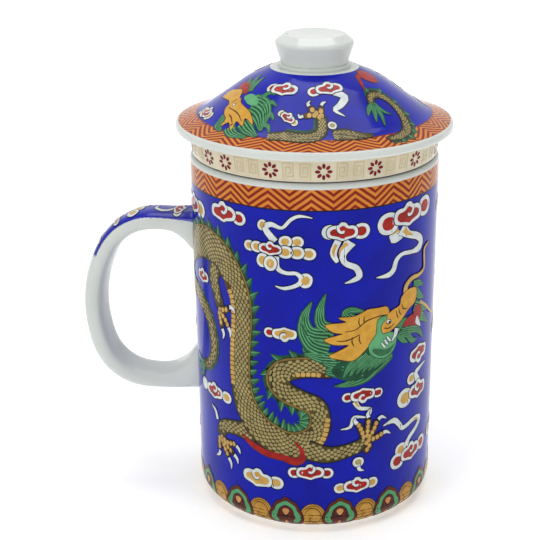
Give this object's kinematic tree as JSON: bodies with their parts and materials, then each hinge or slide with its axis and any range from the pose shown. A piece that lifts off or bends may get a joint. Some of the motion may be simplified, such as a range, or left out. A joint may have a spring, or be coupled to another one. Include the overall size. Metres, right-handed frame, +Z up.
{
  "type": "lidded tea mug with infuser",
  "caption": "Straight porcelain tea mug with a looped handle, a drop-in strainer cup whose collar stands on the rim, and a lift-off flared lid with a knob.",
  "frame": {"origin": "on the mug's axis, in the plane of its foot ring", "axes": "+Z up along the mug's axis, -X towards the handle, so the XZ plane is the plane of symmetry"},
  "size_m": [0.1168, 0.0842, 0.1476],
  "materials": {
    "mug_glaze": "glossy cobalt blue glaze with enamel figures, white inside",
    "handle_glaze": "glossy white glaze, blue on the outer face",
    "infuser_glaze": "glossy white glaze, ivory band on the collar",
    "lid_glaze": "glossy cobalt blue glaze with a patterned brim, white below",
    "knob_glaze": "glossy white glaze"
  },
  "bodies": {
    "mug": {"mug_body": "mug_glaze", "mug_handle": "handle_glaze"},
    "infuser": {"infuser_cup": "infuser_glaze"},
    "lid": {"lid_shell": "lid_glaze", "lid_knob": "knob_glaze"}
  },
  "joints": [
    {"name": "infuser_lift", "type": "slide", "parent": "mug", "child": "infuser", "axis": [0, 0, 1], "range_m": [0, 0.1]},
    {"name": "lid_lift", "type": "slide", "parent": "infuser", "child": "lid", "axis": [0, 0, 1], "range_m": [0, 0.06]}
  ]
}
